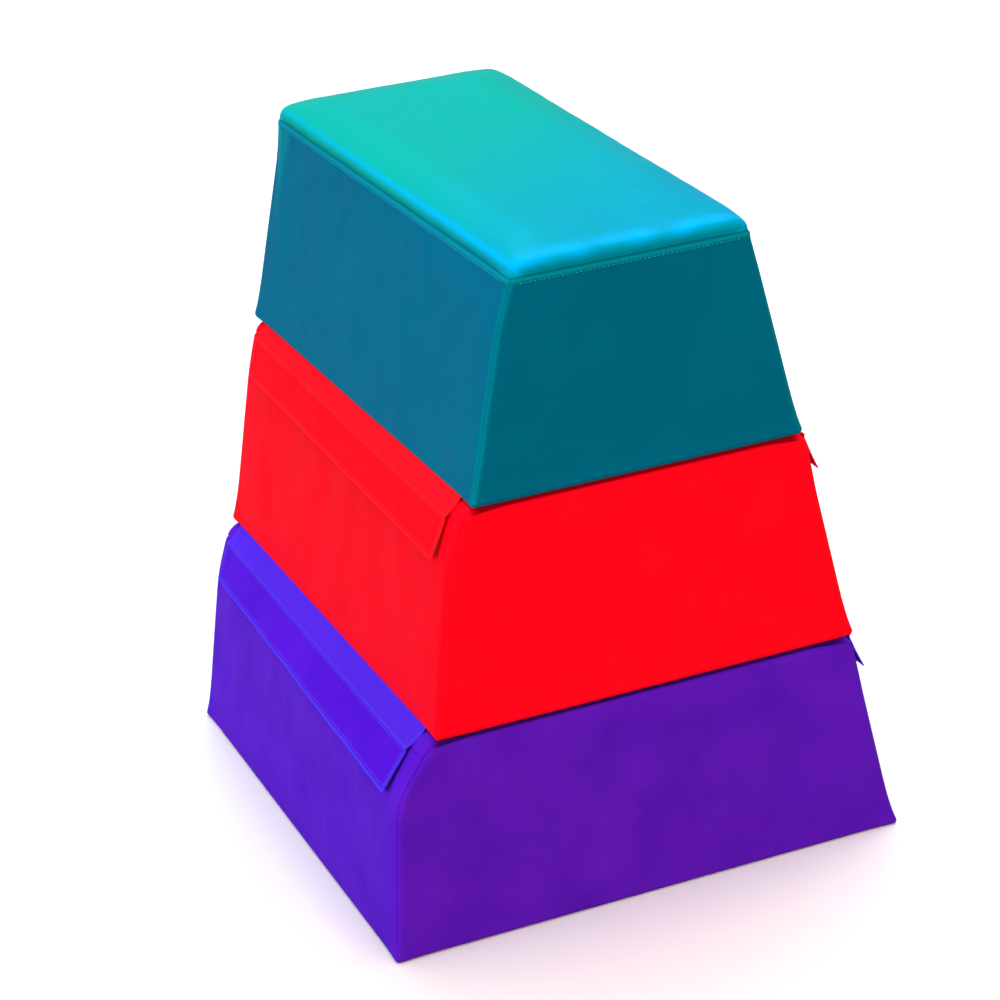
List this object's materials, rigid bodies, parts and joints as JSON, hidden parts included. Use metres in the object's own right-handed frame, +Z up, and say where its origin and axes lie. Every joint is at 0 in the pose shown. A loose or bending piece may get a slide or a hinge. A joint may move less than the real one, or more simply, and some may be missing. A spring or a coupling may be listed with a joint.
{
  "type": "soft foam vaulting box",
  "caption": "Soft vaulting box of stacked, tapering foam sections in coated fabric covers, held together by hook-and-loop flaps on the sloping sides.",
  "frame": {"origin": "centre of the base on the floor", "axes": "+Z up through the stack, +Y along the length towards the rear end, +X towards the right sloping side"},
  "size_m": [0.72, 0.764, 0.9],
  "materials": {
    "vinyl_violet": "satin",
    "vinyl_red": "satin",
    "vinyl_teal": "satin",
    "firm_foam": "matte",
    "soft_foam": "matte",
    "hook_tape": "matte",
    "loop_tape": "matte",
    "zip_woven": "matte",
    "zip_teeth": "satin",
    "zip_metal": "satin"
  },
  "bodies": {
    "bottom_section": {"bottom_core": "firm_foam", "bottom_top_panel": "vinyl_violet", "bottom_left_panel": "vinyl_violet", "bottom_right_panel": "vinyl_violet", "bottom_front_panel": "vinyl_violet", "bottom_rear_panel": "vinyl_violet", "bottom_base_panel": "vinyl_violet", "bottom_left_loop_tape": "loop_tape", "bottom_right_loop_tape": "loop_tape", "bottom_zip_tapes": "zip_woven", "bottom_zip_coils": "zip_teeth", "bottom_zip_stops": "zip_metal"},
    "bottom_zip_runner": {"bottom_zip_slider": "zip_metal", "bottom_zip_pull": "zip_woven"},
    "middle_section": {"middle_core": "firm_foam", "middle_top_panel": "vinyl_red", "middle_left_panel": "vinyl_red", "middle_right_panel": "vinyl_red", "middle_front_panel": "vinyl_red", "middle_rear_panel": "vinyl_red", "middle_base_panel": "vinyl_red", "middle_left_loop_tape": "loop_tape", "middle_right_loop_tape": "loop_tape", "middle_zip_tapes": "zip_woven", "middle_zip_coils": "zip_teeth", "middle_zip_stops": "zip_metal"},
    "middle_zip_runner": {"middle_zip_slider": "zip_metal", "middle_zip_pull": "zip_woven"},
    "middle_left_joining_flap": {"middle_left_flap": "vinyl_violet", "middle_left_hook_tape": "hook_tape"},
    "middle_right_joining_flap": {"middle_right_flap": "vinyl_violet", "middle_right_hook_tape": "hook_tape"},
    "top_section": {"top_core": "firm_foam", "top_pad": "soft_foam", "top_top_panel": "vinyl_teal", "top_left_panel": "vinyl_teal", "top_right_panel": "vinyl_teal", "top_front_panel": "vinyl_teal", "top_rear_panel": "vinyl_teal", "top_base_panel": "vinyl_teal", "top_zip_tapes": "zip_woven", "top_zip_coils": "zip_teeth", "top_zip_stops": "zip_metal"},
    "top_zip_runner": {"top_zip_slider": "zip_metal", "top_zip_pull": "zip_woven"},
    "top_left_joining_flap": {"top_left_flap": "vinyl_red", "top_left_hook_tape": "hook_tape"},
    "top_right_joining_flap": {"top_right_flap": "vinyl_red", "top_right_hook_tape": "hook_tape"}
  },
  "joints": [
    {"name": "middle_lift", "type": "slide", "parent": "bottom_section", "child": "middle_section", "axis": [0, 0, 1], "range_m": [0, 0.35]},
    {"name": "top_lift", "type": "slide", "parent": "middle_section", "child": "top_section", "axis": [0, 0, 1], "range_m": [0, 0.35]},
    {"name": "middle_left_flap_swing", "type": "hinge", "parent": "middle_section", "child": "middle_left_joining_flap", "pos_m": [-0.29328, 0, 0.30025], "axis": [0, 1, 0], "range_deg": [0, 140]},
    {"name": "middle_right_flap_swing", "type": "hinge", "parent": "middle_section", "child": "middle_right_joining_flap", "pos_m": [0.29328, 0, 0.30025], "axis": [0, -1, 0], "range_deg": [0, 140]},
    {"name": "top_left_flap_swing", "type": "hinge", "parent": "top_section", "child": "top_left_joining_flap", "pos_m": [-0.22528, 0, 0.60025], "axis": [0, 1, 0], "range_deg": [0, 140]},
    {"name": "top_right_flap_swing", "type": "hinge", "parent": "top_section", "child": "top_right_joining_flap", "pos_m": [0.22528, 0, 0.60025], "axis": [0, -1, 0], "range_deg": [0, 140]},
    {"name": "bottom_zip_run", "type": "slide", "parent": "bottom_section", "child": "bottom_zip_runner", "axis": [0, -1, 0], "range_m": [0, 0.5]},
    {"name": "middle_zip_run", "type": "slide", "parent": "middle_section", "child": "middle_zip_runner", "axis": [0, -1, 0], "range_m": [0, 0.5]},
    {"name": "top_zip_run", "type": "slide", "parent": "top_section", "child": "top_zip_runner", "axis": [0, -1, 0], "range_m": [0, 0.5]}
  ]
}
